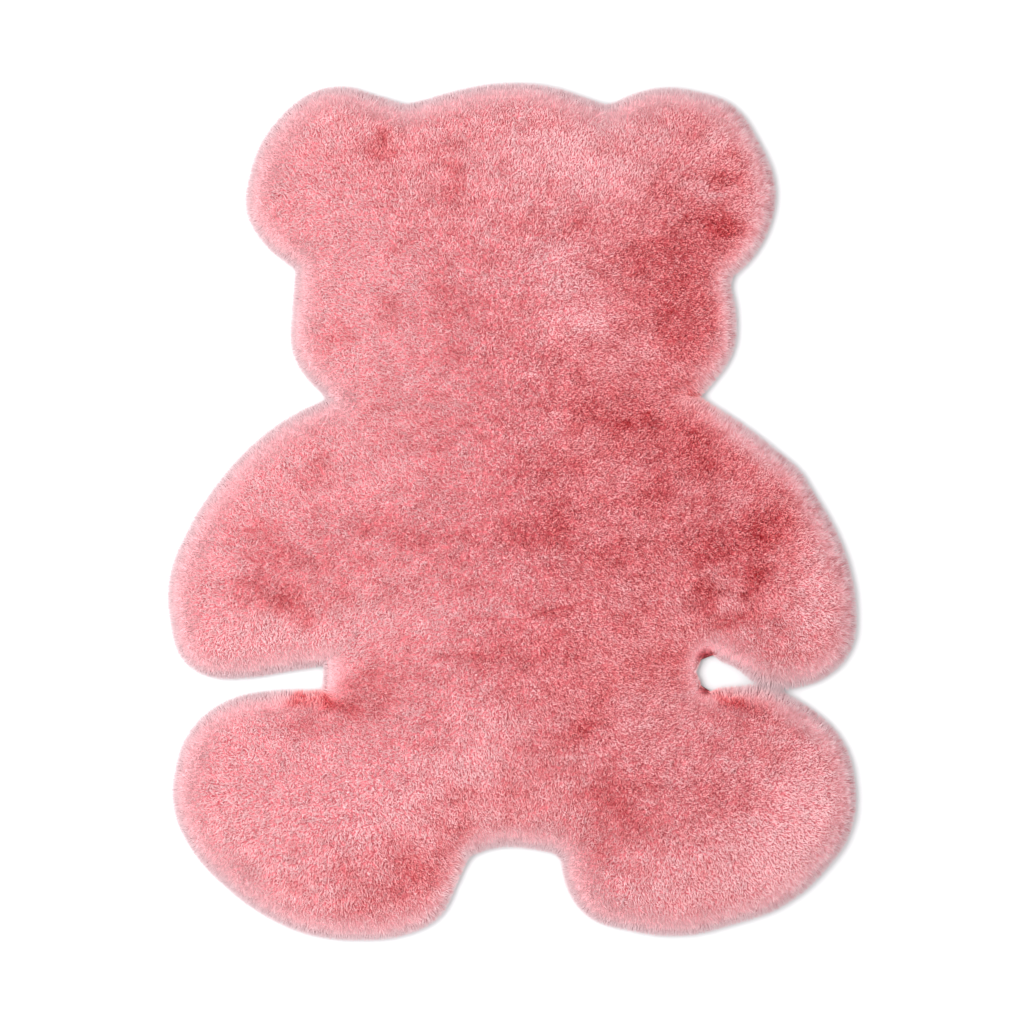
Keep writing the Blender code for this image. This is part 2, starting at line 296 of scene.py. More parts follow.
# Where the pile is longer, or, below 0, clipped short: (x, y, reach across, reach along, share of length).
TRIMMED = (
    (0.170, -0.150, 0.012, 0.016, -0.50),  # inner end of the right slot
    (0.182, -0.133, 0.012, 0.010, -0.95),  # its two corners, clipped down to the underpile, which is painted dark there: painted shadow in the notches
    (0.181, -0.167, 0.008, 0.007, -0.95),
    (0.208, -0.144, 0.014, 0.010, -0.45),  # its upper side
    (-0.170, -0.156, 0.018, 0.018, -0.30),  # and of the left one
    (0.240, -0.160, 0.020, 0.016, 0.90),  # where the right arm and foot meet
)
BARED_PAINTED_SHADOW = (0.5, 0.9)  # the shares of clipping at which the underpile begins to show, and shows in full, painted dark: painted shadow

# The lie of the pile is worked out on a grid.
FIELD_STEP = 3 * MM
FIELD_MARGIN = 4  # how many steps it goes on past the solid
NEAREST_PULL = 2 * MM  # an edge nearer than this pulls no harder

# The view.
VIEW_WIDTH = 0.957  # what the frame takes in across
VIEW_DISTANCE = 3.4
VIEW_PLANE = 8 * MM  # the height at which that width is measured
SENSOR = 36  # mm

# The studio.
FLOOR_SIZE = 12
FLOOR_BELOW = 0.1 * MM  # how far the floor lies under the ground cloth, so that their faces stay apart
SKY_STRENGTH = 1.37
SOFT_BOX_SIZE = 1.8
SOFT_BOX_POWER = 64
SOFT_BOX_PLACE = (-1.1, 0.15, 1.9)

random = np.random.default_rng(11)


def linear(srgb_hex):
    """A colour written as sRGB hex, in the linear values that sockets take."""
    shares = [int(srgb_hex[i : i + 2], 16) / 255 for i in (0, 2, 4)]
    return [s / 12.92 if s <= 0.04045 else ((s + 0.055) / 1.055) ** 2.4 for s in shares] + [1.0]


def unit(vectors):
    """The same vectors, each one long."""
    return vectors / np.maximum(np.linalg.norm(vectors, axis=1, keepdims=True), FLAT)


def smooth_step(low, high, value):
    """Rises smoothly from 0 at low to 1 at high."""
    share = np.clip((value - low) / (high - low), 0, 1)
    return share * share * (3 - 2 * share)


# ------------------------------------------------------------------ the cut edge, and fields over the mat


def cut_edge():
    """The edge of the CAD solid's flat underside, where the cloth is cut: points (x, y) in order."""
    bm = bmesh.new()
    bm.from_mesh(bpy.data.objects[MAT].data)
    bmesh.ops.remove_doubles(bm, verts=bm.verts, dist=FLAT)
    flat = {face for face in bm.faces if all(abs(vert.co.z) < FLAT for vert in face.verts)}
    rim = [edge for edge in bm.edges if len(flat.intersection(edge.link_faces)) == 1]
    start = vert = rim[0].verts[0]
    edge, points = rim[0], []
    rim = set(rim)
    while True:
        points.append((vert.co.x, vert.co.y))
        vert = edge.other_vert(vert)
        if vert is start:
            break
        edge = next(other for other in vert.link_edges if other in rim and other is not edge)
    bm.free()
    return np.array(points)


EDGE = cut_edge()
EDGE_STEPS = np.roll(EDGE, -1, axis=0) - EDGE
EDGE_LENGTHS = np.linalg.norm(EDGE_STEPS, axis=1)


def in_parts(points):
    """The numbers of these points, in parts that are small enough to work out at once."""
    return np.array_split(np.arange(len(points)), max(1, len(points) // AT_ONCE))


def nearest_on_edge(points):
    """For each point (x, y): how far the cut edge is, below 0 outside it, and the nearest place on it."""
    nearest = np.empty_like(points)
    gap = np.empty(len(points))
    for part in in_parts(points):
        away = points[part, None] - EDGE
        share = np.clip((away * EDGE_STEPS).sum(2) / (EDGE_STEPS**2).sum(1), 0, 1)
        foot = EDGE + share[..., None] * EDGE_STEPS
        gaps = np.linalg.norm(points[part, None] - foot, axis=2)
        nearest[part] = foot[np.arange(len(part)), gaps.argmin(1)]

        # A point lies inside where a line from it to the right crosses the edge an odd number of times.
        x, y = points[part, None, 0], points[part, None, 1]
        crosses = (EDGE[:, 1] > y) != (EDGE[:, 1] + EDGE_STEPS[:, 1] > y)
        slope = EDGE_STEPS[:, 0] / np.where(EDGE_STEPS[:, 1] == 0, 1, EDGE_STEPS[:, 1])
        reach = EDGE[:, 0] + (y - EDGE[:, 1]) * slope
        inside = (crosses & (x < reach)).sum(1) % 2 == 1
        gap[part] = gaps.min(1) * np.where(inside, 1, -1)
    return gap, nearest


def outward_pull(points):
    """Vectors towards the stretches of the cut edge nearby: 1 long beside it, 0 midway between two."""
    pull = np.zeros_like(points)
    for part in in_parts(points):
        away = EDGE - points[part, None]
        gaps = np.linalg.norm(away, axis=2).clip(NEAREST_PULL)
        weights = EDGE_LENGTHS / gaps**3
        pull[part] = (away * (weights / gaps)[..., None]).sum(1) / weights.sum(1)[:, None]
    return pull * 4 / math.pi  # beside a straight edge the sum alone comes to a quarter of pi


LOW = np.array(cad_box[0][:2]) - FIELD_MARGIN * FIELD_STEP
HIGH = np.array(cad_box[1][:2]) + FIELD_MARGIN * FIELD_STEP
FIELD_X = np.arange(LOW[0], HIGH[0], FIELD_STEP)
FIELD_Y = np.arange(LOW[1], HIGH[1], FIELD_STEP)
FIELD_POINTS = np.stack(np.meshgrid(FIELD_X, FIELD_Y, indexing="ij"), axis=2).reshape(-1, 2)


def read_field(values, points):
    """Values given at FIELD_POINTS, read between them at other points."""
    values = values.reshape(len(FIELD_X), len(FIELD_Y), -1)
    place = (points - LOW) / FIELD_STEP
    cell = np.clip(np.floor(place).astype(int), 0, (len(FIELD_X) - 2, len(FIELD_Y) - 2))
    x, y = cell.T
    u, v = np.clip(place - cell, 0, 1).T[..., None]
    low = values[x, y] * (1 - u) + values[x + 1, y] * u
    high = values[x, y + 1] * (1 - u) + values[x + 1, y + 1] * u
    read = low * (1 - v) + high * v
    return read[:, 0] if read.shape[1] == 1 else read


def ripple(points, pitch):
    """Smooth seeded noise from -1 to 1, with a new value every pitch (one, or one for x and y each)."""
    count = np.ceil((HIGH - LOW) / pitch).astype(int) + 3
    values = random.uniform(-1, 1, count)
    place = (points - LOW) / pitch + 1
    x, y = cell = np.clip(np.floor(place).astype(int), 0, count - 2).T
    u, v = smooth_step(0, 1, place.T - cell)
    low = values[x, y] * (1 - u) + values[x + 1, y] * u
    high = values[x, y + 1] * (1 - u) + values[x + 1, y + 1] * u
    return low * (1 - v) + high * v


def spots(points, table):
    """The sum of the table's soft spots at each point."""
    total = np.zeros(len(points))
    for x, y, across, along, strength in table:
        gap = np.hypot((points[:, 0] - x) / across, (points[:, 1] - y) / along)
        total += strength * np.exp(-(gap**2))
    return total


def from_parting(points):
    """Vectors to each point from the nearest place on the belly's parting."""
    best = np.full((len(points), 2), 1.0)
    for start, end in zip(np.array(PARTING), np.array(PARTING[1:])):
        step = end - start
        share = np.clip((points - start) @ step / (step @ step), 0, 1)
        away = points - start - share[:, None] * step
        nearer = np.linalg.norm(away, axis=1) < np.linalg.norm(best, axis=1)
        best[nearer] = away[nearer]
    return best


GAP = nearest_on_edge(FIELD_POINTS)[0]
OUTWARD = unit(-np.stack(np.gradient(GAP.reshape(len(FIELD_X), -1)), axis=2).reshape(-1, 2))
NEAR_RIM = 1 - smooth_step(RIM_STRAIGHT, RIM_WIDTH, GAP)[:, None]
LIE = OUTWARD * NEAR_RIM + outward_pull(FIELD_POINTS) * (1 - NEAR_RIM)


def lay_nap():
    """How far the nap stands up at FIELD_POINTS, or, below 0, is stroked flat, and how pale the rim is
    painted, as painted sheen.
    """
    frayed = FIELD_POINTS.copy()
    for pitch, reach in NAP_FRAY:
        frayed += reach * np.column_stack([ripple(FIELD_POINTS, pitch), ripple(FIELD_POINTS, pitch)])
    marked = spots(frayed, NAP)
    # The rim is painted pale, painted sheen, wider to the left towards the soft box and fading out
    # inwards.
    pitch, waver = PALE_WAVER
    reach = PALE_WIDTH * (1 - SHEEN_TOWARDS_LIGHT * OUTWARD[:, 0]) * (1 + waver * ripple(FIELD_POINTS, pitch))
    painted_sheen = (1 - smooth_step(-BULGE, reach, GAP)) * (1 - np.clip(marked * PALE_YIELDS, 0, 1))
    # Where the pile is clipped down to the underpile, painted shadow: the nap's painted shade in full, and
    # no painted sheen.
    bared_painted_shadow = smooth_step(*BARED_PAINTED_SHADOW, -spots(FIELD_POINTS, TRIMMED))
    painted_sheen *= 1 - bared_painted_shadow
    # Painted shade, darker to the right, away from the soft box, and lighter to the left.
    nap = bared_painted_shadow + NAP_EVEN + NAP_AND_SHADE_ACROSS * np.clip(FIELD_POINTS[:, 0] / (CUT_WIDTH / 2), -1, 1) + marked
    for width, height, strength in NAP_ROUGH:
        nap += strength * ripple(FIELD_POINTS, np.array([width, height]) * MM)
    return np.minimum(nap, 1) * (1 - painted_sheen), painted_sheen


NAP_RISE, RIM_PAINTED_SHEEN = lay_nap()


# ------------------------------------------------------------------ heights


def cad_tops(points):
    """Heights of the CAD solid's top over points (x, y), or 0 outside it."""
    solid = bpy.data.objects[MAT].data
    tree = BVHTree.FromPolygons([v.co for v in solid.vertices], [p.vertices[:] for p in solid.polygons])
    tops = np.zeros(len(points))
    for i, (x, y) in enumerate(points):
        hit = tree.ray_cast(Vector((x, y, 1)), Vector((0, 0, -1)))[0]
        tops[i] = hit.z if hit else 0
    return tops


TOP = cad_tops(FIELD_POINTS)
FULL_HEIGHT = cad_box[1][2]


def underpile_height(points, gap):
    """Height of the underpile over points (x, y) that lie this gap in from the cut edge."""
    inner = np.maximum(read_field(TOP, points), FULL_HEIGHT - FOLLOWED) - UNDERPILE_DEPTH
    roll = np.sqrt(1 - (1 - np.clip((gap + BULGE) / UNDERPILE_ROLL, 0, 1)) ** 2)
    return BULGE_HEIGHT + (inner - BULGE_HEIGHT) * roll


# ------------------------------------------------------------------ materials


# The sockets of a Mix node that mixes colours, which have their names in common with others.
MIX_FACTOR = 0
MIX_FIRST = 6
MIX_SECOND = 7
MIX_COLOUR = 2  # what it gives

# The colours of a hair from its root, 0, to its tip, 1: darker towards the root, painted shade down in the
# pile, and paler at the tip, painted light.
LAID_HAIR = ((0.0, "B04850"), (0.3, "EAC4C7"), (0.9, "F2DFE2"))
# Parted pile, painted deeper: painted shade.
DEEP_HAIR_PAINTED_SHADE = ((0.0, "6C0E16"), (0.36, "E66268"), (0.95, "FFC6C2"))
# The rim, painted greyish pale: painted sheen of the hairs lying out over it.
RIM_HAIR_PAINTED_SHEEN = ((0.0, "C0A0A4"), (0.5, "C6AAAE"), (1.0, "CEB4B8"))

# What they are multiplied by, from the deepest shade, 0, to the palest, 1: each hair's own tone, with
# the painted shade and painted sheen that it carries as well.
HAIR_SHADES = ((0.0, "B84A50"), (0.45, "EEC2C4"), (1.0, "FFFFFF"))

# The underpile's colours, from between its hairs to the hairs, darker than the long hairs: painted shade
# down in the pile, darkest between its hairs.
LAID_UNDERPILE = ((0.35, "9C464E"), (0.65, "D07A82"))
# Where the pile is parted, deeper still: painted shade.
DEEP_UNDERPILE_PAINTED_SHADE = ((0.35, "600C16"), (0.65, "B03C44"))


def node(tree, kind, inputs=(), stops=(), **settings):
    """Adds a node with its settings, and with the stops of a colour ramp, as (place, hex colour).

    An input takes a plain value, or the output that is linked to it.
    """
    made = tree.nodes.new(kind)
    for name, value in settings.items():
        setattr(made, name, value)
    for name, value in dict(inputs).items():
        if isinstance(value, bpy.types.NodeSocket):
            tree.links.new(value, made.inputs[name])
        else:
            made.inputs[name].default_value = value
    if stops:
        elements = made.color_ramp.elements
        elements[0].position = stops[0][0]
        elements[-1].position = stops[-1][0]
        for place, _ in stops[1:-1]:
            elements.new(place)
        for element, (_, colour) in zip(elements, stops):
            element.color = linear(colour)
    return made


def new_material(name):
    """A material that has no nodes yet, and its node tree."""
    material = bpy.data.materials.new(name)
    material.use_nodes = True
    material.node_tree.nodes.clear()
    return material, material.node_tree


def fur_material():
    """Crimped acrylic fur: matt hairs, deep coral down at their roots and pale pink at the lit tips.

    The eye gets a soft speckle, with darker coral where the pile is parted and a pale, even rim. The deep
    roots and parted coral are painted shade down in the pile, the pale tips painted light and the rim
    painted sheen.
    """
    material, tree = new_material("acrylic_fur_hair")
    along, parted, rim, tint = (
        node(tree, "ShaderNodeAttribute", attribute_name=name).outputs["Fac"]
        for name in ("along", "parted", "rim", "tint")
    )
    laid = node(tree, "ShaderNodeValToRGB", {"Fac": along}, LAID_HAIR)
    painted_shade_colour = node(tree, "ShaderNodeValToRGB", {"Fac": along}, DEEP_HAIR_PAINTED_SHADE)
    painted_sheen_colour = node(tree, "ShaderNodeValToRGB", {"Fac": along}, RIM_HAIR_PAINTED_SHEEN)
    shade = node(tree, "ShaderNodeValToRGB", {"Fac": tint}, HAIR_SHADES)

    # Parted pile is painted deep, painted shade, and the rim pale, painted sheen; then each hair gets its
    # own shade, which carries painted shade and sheen as well.
    colour = laid.outputs["Color"]
    for factor, other, blend in ((parted, painted_shade_colour, "MIX"), (rim, painted_sheen_colour, "MIX"), (1.0, shade, "MULTIPLY")):
        inputs = {MIX_FACTOR: factor, MIX_FIRST: colour, MIX_SECOND: other.outputs["Color"]}
        mix = node(tree, "ShaderNodeMix", inputs, data_type="RGBA", blend_type=blend)
        colour = mix.outputs[MIX_COLOUR]
    surface = {
        "Base Color": colour,
        "Roughness": 0.8,
        "Specular IOR Level": 0.12,
        "Sheen Weight": 0.05,
        "Sheen Roughness": 0.5,
        "Sheen Tint": linear("F08890"),
    }
    shader = node(tree, "ShaderNodeBsdfPrincipled", surface)
    node(tree, "ShaderNodeOutputMaterial", {"Surface": shader.outputs[0]})
    return material


def underpile_material():
    """The dense lower part of the same fur: deep coral, dark where hairs stand apart, pale at the rim.

    The eye gets a matt, warm depth between the long hairs. Its coral is painted shade down in the pile,
    darker between its hairs and where they stand apart, and its pale rim is painted sheen.
    """
    material, tree = new_material("acrylic_fur_underpile")
    parted = node(tree, "ShaderNodeAttribute", attribute_name="parted").outputs["Fac"]
    rim = node(tree, "ShaderNodeAttribute", attribute_name="rim").outputs["Fac"]
    place = node(tree, "ShaderNodeTexCoord").outputs["Object"]

    # The real hairs are far less than a millimetre apart, drawn at 2.4 mm so that they show.
    noise = node(tree, "ShaderNodeTexNoise", {"Vector": place, "Scale": 1 / (2.4 * MM), "Detail": 2.0})
    hairs = noise.outputs["Fac"]
    laid = node(tree, "ShaderNodeValToRGB", {"Fac": hairs}, LAID_UNDERPILE)
    painted_shade_colour = node(tree, "ShaderNodeValToRGB", {"Fac": hairs}, DEEP_UNDERPILE_PAINTED_SHADE)
    # Parted pile painted deeper: painted shade.
    inputs = {MIX_FACTOR: parted, MIX_FIRST: laid.outputs["Color"], MIX_SECOND: painted_shade_colour.outputs["Color"]}
    inner = node(tree, "ShaderNodeMix", inputs, data_type="RGBA").outputs[MIX_COLOUR]
    # The rim painted pale: painted sheen.
    inputs = {MIX_FACTOR: rim, MIX_FIRST: inner, MIX_SECOND: linear("D69CA2")}
    colour = node(tree, "ShaderNodeMix", inputs, data_type="RGBA").outputs[MIX_COLOUR]
    bump = node(tree, "ShaderNodeBump", {"Strength": 0.6, "Distance": 1 * MM, "Height": hairs})
    surface = {
        "Base Color": colour,
        "Roughness": 0.9,
        "Specular IOR Level": 0.2,
        "Normal": bump.outputs["Normal"],
    }
    shader = node(tree, "ShaderNodeBsdfPrincipled", surface)
    node(tree, "ShaderNodeOutputMaterial", {"Surface": shader.outputs[0]})
    return material


def ground_material():
    """Knitted polyester ground cloth, dyed like the pile: fine upright ribs with a dull matt face."""
    material, tree = new_material("knitted_ground_cloth")
    place = node(tree, "ShaderNodeTexCoord").outputs["Object"]

    # The real ribs are 1.1 mm apart, drawn at 2.2 mm so that they show. At scale 1 they are pi / 10 apart.
    scale = math.pi / 10 / (2.2 * MM)
    inputs = {"Vector": place, "Scale": scale, "Distortion": 0.6, "Detail": 1.0, "Detail Scale": 3.0}
    wave = node(tree, "ShaderNodeTexWave", inputs, wave_type="BANDS", bands_direction="X")
    ribs = wave.outputs["Fac"]
    knit = node(tree, "ShaderNodeValToRGB", {"Fac": ribs}, ((0.1, "C98A8E"), (0.9, "E3AFB2")))
    bump = node(tree, "ShaderNodeBump", {"Strength": 0.5, "Distance": 0.4 * MM, "Height": ribs})
    surface = {
        "Base Color": knit.outputs["Color"],
        "Roughness": 0.85,
        "Specular IOR Level": 0.3,
        "Normal": bump.outputs["Normal"],
    }
    shader = node(tree, "ShaderNodeBsdfPrincipled", surface)
    node(tree, "ShaderNodeOutputMaterial", {"Surface": shader.outputs[0]})
    return material


def floor_material():
    """Smooth white studio board: matt, with a faint cool unevenness about a third of a metre across."""
    material, tree = new_material("white_studio_board")
    place = node(tree, "ShaderNodeTexCoord").outputs["Object"]
    uneven = node(tree, "ShaderNodeTexNoise", {"Vector": place, "Scale": 3.0}).outputs["Fac"]
    board = node(tree, "ShaderNodeValToRGB", {"Fac": uneven}, ((0.3, "C2C2C4"), (0.7, "C6C6C7")))
    surface = {"Base Color": board.outputs["Color"], "Roughness": 0.6, "Specular IOR Level": 0.2}
    shader = node(tree, "ShaderNodeBsdfPrincipled", surface)
    node(tree, "ShaderNodeOutputMaterial", {"Surface": shader.outputs[0]})
    return material


# ------------------------------------------------------------------ the body


def select_nothing():
    """Leaves edit mode, with no object selected."""
    if bpy.context.mode != "OBJECT":
        bpy.ops.object.mode_set(mode="OBJECT")
    bpy.ops.object.select_all(action="DESELECT")


def points_of(mesh):
    """A mesh's points, (x, y, z)."""
    points = np.empty(len(mesh.vertices) * 3)
    mesh.vertices.foreach_get("co", points)
    return points.reshape(-1, 3)


def move_points(mesh, points):
    """Puts a mesh's points at these places."""
    mesh.vertices.foreach_set("co", points.ravel())
    mesh.update()


def choose_points(mesh, chosen):
    """Selects these vertices, as a boolean array, for the next step in edit mode."""
    for kind in (mesh.edges, mesh.polygons):
        kind.foreach_set("select", np.zeros(len(kind), bool))
    mesh.vertices.foreach_set("select", chosen)


def chosen_points(mesh):
    """Which vertices are selected, as a boolean array."""
    chosen = np.empty(len(mesh.vertices), bool)
    mesh.vertices.foreach_get("select", chosen)
    return chosen


def in_edit_mode(*steps):
    """Takes these steps in edit mode, on what is selected."""
    bpy.ops.object.mode_set(mode="EDIT")
    for step in steps:
        step()
    bpy.ops.object.mode_set(mode="OBJECT")


def make_body():
    """A grid trimmed to the cut edge, raised to the underpile and closed below by flat ground cloth."""
    select_nothing()
    size = HIGH - LOW
    middle = (LOW + HIGH) / 2
    counts = [round(side / UNDERPILE_CELL) for side in size]
    bpy.ops.mesh.primitive_grid_add(x_subdivisions=counts[0], y_subdivisions=counts[1], size=1)
    body = bpy.context.object
    body.name = body.data.name = "fur_mat_body"
    body.scale = (*size, 1)
    body.location = (*middle, 0)
    bpy.ops.object.transform_apply(location=True, rotation=False, scale=True)

    mesh = body.data
    gap = nearest_on_edge(points_of(mesh)[:, :2])[0]
    choose_points(mesh, gap < GRID_SHORT * UNDERPILE_CELL - BULGE)
    in_edit_mode(
        lambda: bpy.ops.mesh.select_mode(type="VERT"),
        lambda: bpy.ops.mesh.delete(type="VERT"),
    )

    # A strip joins the grid's stepped rim to the widest line of the underpile.
    in_edit_mode(
        lambda: bpy.ops.mesh.select_non_manifold(extend=False),
        bpy.ops.mesh.extrude_region_move,
    )
    points = points_of(mesh)
    outer = chosen_points(mesh)
    foot = nearest_on_edge(points[outer, :2])[1]
    points[outer, :2] = foot + BULGE * unit(read_field(OUTWARD, foot))
    gap = nearest_on_edge(points[:, :2])[0]
    points[:, 2] = underpile_height(points[:, :2], gap)
    lumps = ripple(points[:, :2], UNDERPILE_LUMP)
    points[:, 2] += UNDERPILE_BUMP * smooth_step(0, UNDERPILE_ROLL, gap) * lumps
    move_points(mesh, points)

    # From there it turns in to the cut edge, and the flat ground cloth closes it below.
    in_edit_mode(bpy.ops.mesh.extrude_region_move)
    points = points_of(mesh)
    outer = chosen_points(mesh)
    points[outer, :2] = nearest_on_edge(points[outer, :2])[1]
    points[outer, 2] = CLOTH_EDGE
    move_points(mesh, points)
    in_edit_mode(
        lambda: bpy.ops.mesh.extrude_region_move(TRANSFORM_OT_translate={"value": (0, 0, -CLOTH_EDGE)}),
        bpy.ops.mesh.edge_face_add,
        lambda: bpy.ops.mesh.quads_convert_to_tris(ngon_method="BEAUTY"),
        lambda: bpy.ops.mesh.select_all(action="SELECT"),
        lambda: bpy.ops.mesh.remove_doubles(threshold=FLAT),
        lambda: bpy.ops.mesh.select_all(action="SELECT"),
        lambda: bpy.ops.mesh.normals_make_consistent(inside=False),
    )
    mesh.materials.append(underpile_material())
    mesh.materials.append(ground_material())
    points = points_of(mesh)[:, :2]
    # The underpile's colour follows the nap's painted shade and the rim's painted sheen.
    for key, field in (("parted", np.clip(NAP_RISE, 0, 1)), ("rim", RIM_PAINTED_SHEEN)):
        layer = mesh.attributes.new(key, "FLOAT", "POINT")
        layer.data.foreach_set("value", read_field(field, points))
    for face in mesh.polygons:
        flat = all(mesh.vertices[i].co.z < CLOTH_EDGE + FLAT for i in face.vertices)
        face.material_index = int(flat)
        face.use_smooth = not flat
    return body


# ------------------------------------------------------------------ the pile


def inner_roots():
    """Roots of the tufts, (x, y), on a staggered grid with each one set a little off."""
    rows = np.arange(LOW[1], HIGH[1], TUFT_PITCH * math.sqrt(3) / 2)
    columns = np.arange(LOW[0], HIGH[0], TUFT_PITCH)
    x, y = np.meshgrid(columns, rows)
    x = x + TUFT_PITCH / 2 * (np.arange(len(rows)) % 2)[:, None]
    roots = np.stack([x, y], axis=2).reshape(-1, 2)
    roots += random.uniform(-TUFT_OFF, TUFT_OFF, roots.shape) * TUFT_PITCH
    return roots[read_field(GAP, roots) > TUFT_MARGIN - BULGE]


def along_edge(pitch):
    """Points at an even pitch along the cut edge."""
    ends = np.append(0, EDGE_LENGTHS.cumsum())
    at = np.arange(0, ends[-1], pitch)
    at = (at + random.uniform(-RIM_OFF, RIM_OFF, len(at)) * pitch) % ends[-1]
    loop = np.vstack([EDGE, EDGE[:1]])
    return np.stack([np.interp(at, ends, loop[:, axis]) for axis in (0, 1)], axis=1)


def rim_roots():
    """Roots of the outermost rows, one over the other up the rounded rim: (x, y, z)."""
    roots = []
    for height in RIM_ROWS:
        if height < BULGE_HEIGHT:
            out = BULGE * (height - CLOTH_EDGE) / (BULGE_HEIGHT - CLOTH_EDGE)
        else:
            share = (height - BULGE_HEIGHT) / (FULL_HEIGHT - LUMP_HEIGHT - UNDERPILE_DEPTH - BULGE_HEIGHT)
            out = BULGE - UNDERPILE_ROLL * (1 - math.sqrt(1 - share**2))
        row = along_edge(RIM_PITCH)
        row += unit(read_field(OUTWARD, row)) * out
        heights = height + random.uniform(-RIM_ROW_SPREAD, RIM_ROW_SPREAD, len(row))
        roots.append(np.column_stack([row, heights]))
    return np.vstack(roots)


def turned(vectors, degrees):
    """Vectors (x, y) turned by so many degrees each."""
    angle = np.radians(degrees)
    x, y = vectors.T
    return np.stack([x * np.cos(angle) - y * np.sin(angle), x * np.sin(angle) + y * np.cos(angle)], axis=1)


def locks(points):
    """For each tuft, the middle of its lock, which way that lock leans, and its shade, from 0 to 1."""
    counts = np.ceil((HIGH - LOW) / LOCK_PITCH).astype(int) + 3
    cells = np.stack(np.meshgrid(*(np.arange(n) for n in counts), indexing="ij"), axis=2)
    middles = LOW + (cells - 1 + random.uniform(*LOCK_OFF, cells.shape)) * LOCK_PITCH
    wills = random.normal(0, LOCK_WILL, cells.shape)
    shades = random.uniform(0, 1, cells.shape[:2])
    cell = np.floor((points - LOW) / LOCK_PITCH).astype(int) + 1
    best = np.full(len(points), np.inf)
    own = np.zeros((len(points), 2), int)
    for dx in (-1, 0, 1):
        for dy in (-1, 0, 1):
            there = np.clip(cell + (dx, dy), 0, counts - 1)
            gap = np.linalg.norm(middles[there[:, 0], there[:, 1]] - points, axis=1)
            nearer = gap < best
            best[nearer] = gap[nearer]
            own[nearer] = there[nearer]
    x, y = own.T
    return middles[x, y], wills[x, y], shades[x, y]


def lay_pile():
    """Works out every tuft: its root, its tip and the values that its colour follows."""
    inner = inner_roots()
    inner = np.column_stack([inner, underpile_height(inner, read_field(GAP, inner))])
    base = np.vstack([inner, rim_roots()])
    roots = base[:, :2]
    count = len(roots)
    gap = read_field(GAP, roots)
    middle, will, shade = locks(roots)
    outermost = 1 - smooth_step(-BULGE, RIM_EVEN, gap)
    fray = (shade - 0.5) * (1 - outermost)
    on_rim = 1 - smooth_step(-BULGE, RIM_WIDTH, gap + RIM_FRAY * fray)
    # The nap: where it stands up, the tufts lean less and get painted shade; where it is stroked flat,
    # painted sheen. The rim gets painted sheen.
    pitch, speckle = NAP_SPECKLE
    rise = read_field(NAP_RISE, roots) + speckle * ripple(roots, pitch)
    away = from_parting(roots)
    push = np.exp(-((np.linalg.norm(away, axis=1) / PARTING_WIDTH) ** 2))
    parted = np.clip(rise + PARTING_RISE_AND_SHADE * push**2, 0, 1)
    stroked = np.clip(-rise, 0, 1)
    painted_sheen = np.clip(read_field(RIM_PAINTED_SHEEN, roots) * (1 - PALE_FRAY * fray), 0, 1)

    # The edges pull the pile outwards, and away from them each lock goes its own way.
    lie = read_field(LIE, roots) + will * (1 - on_rim)[:, None]
    laid = smooth_step(0, 1, np.linalg.norm(lie, axis=1)) * (1 - parted)
    lean = LEAN_PARTED + (LEAN_INSIDE - LEAN_PARTED) * laid
    lean += (LEAN_RIM - lean) * on_rim
    lean += LEAN_SPREAD * random.normal(0, 1, count) * (1 - RIM_CALM * outermost)
    lean = np.radians(np.clip(lean, *LEAN_LIMITS))
    lie = turned(unit(lie), TURN_SPREAD * random.normal(0, 1, count) * (1 - RIM_CALM * on_rim))
    lie = unit(lie + PARTING_PUSH * push[:, None] * unit(away))

    length = TUFT_LENGTH + (RIM_TUFT_LENGTH - TUFT_LENGTH) * (1 - smooth_step(0, RIM_WIDTH, gap))
    length *= random.uniform(*TUFT_LENGTHS, count) * (1 + spots(roots, TRIMMED))
    heading = np.column_stack([lie * np.sin(lean)[:, None], np.cos(lean)])
    base = base - heading * TUFT_SUNK
    tip = base + heading * length[:, None]
    tip[:, :2] += (middle - roots) * LOCK_PULL * (1 - on_rim)[:, None]
    tip[:, 2] = np.maximum(tip[:, 2], TIP_LOWEST)
    base[:, 2] = np.maximum(base[:, 2], ROOT_LOWEST)

    # How pale each hair is: of itself; by how its patch of the nap lies, with painted shade where it
    # stands up and painted sheen where it is stroked flat; and at the rim, with painted light and sheen.
    grain = LOCK_SHARE * shade + (1 - LOCK_SHARE) * random.uniform(0, 1, count) - 0.5
    hair_tone_and_painted_light = SHADE_LAID + PARTED_PAINTED_SHADE * parted + (GRAIN_LAID + GRAIN_PARTED * parted) * grain
    hair_tone_and_painted_light += (1 - hair_tone_and_painted_light) * np.clip(STROKED_PAINTED_SHEEN * stroked, 0, 1)
    ruffled = np.clip(read_field(OUTWARD[:, 0], roots), 0, 1)
    # Painted light at the rim: brightest on the outermost hairs and dimmer farther in, with grain on the
    # right.
    rim_painted_light_and_grain = RIM_PAINTED_LIGHT[0] + (RIM_PAINTED_LIGHT[1] - RIM_PAINTED_LIGHT[0]) * smooth_step(*RIM_PAINTED_LIGHT_FADE, gap)
    rim_painted_light_and_grain += RIM_GRAIN * ruffled * grain
    return {
        "base": base,
        "tip": tip,
        "width": TUFT_WIDTH + (RIM_TUFT_WIDTH - TUFT_WIDTH) * on_rim,
        "parted": parted,
        "rim": painted_sheen,
        "tint": hair_tone_and_painted_light + (rim_painted_light_and_grain - hair_tone_and_painted_light) * RIM_SHARE * painted_sheen,
    }


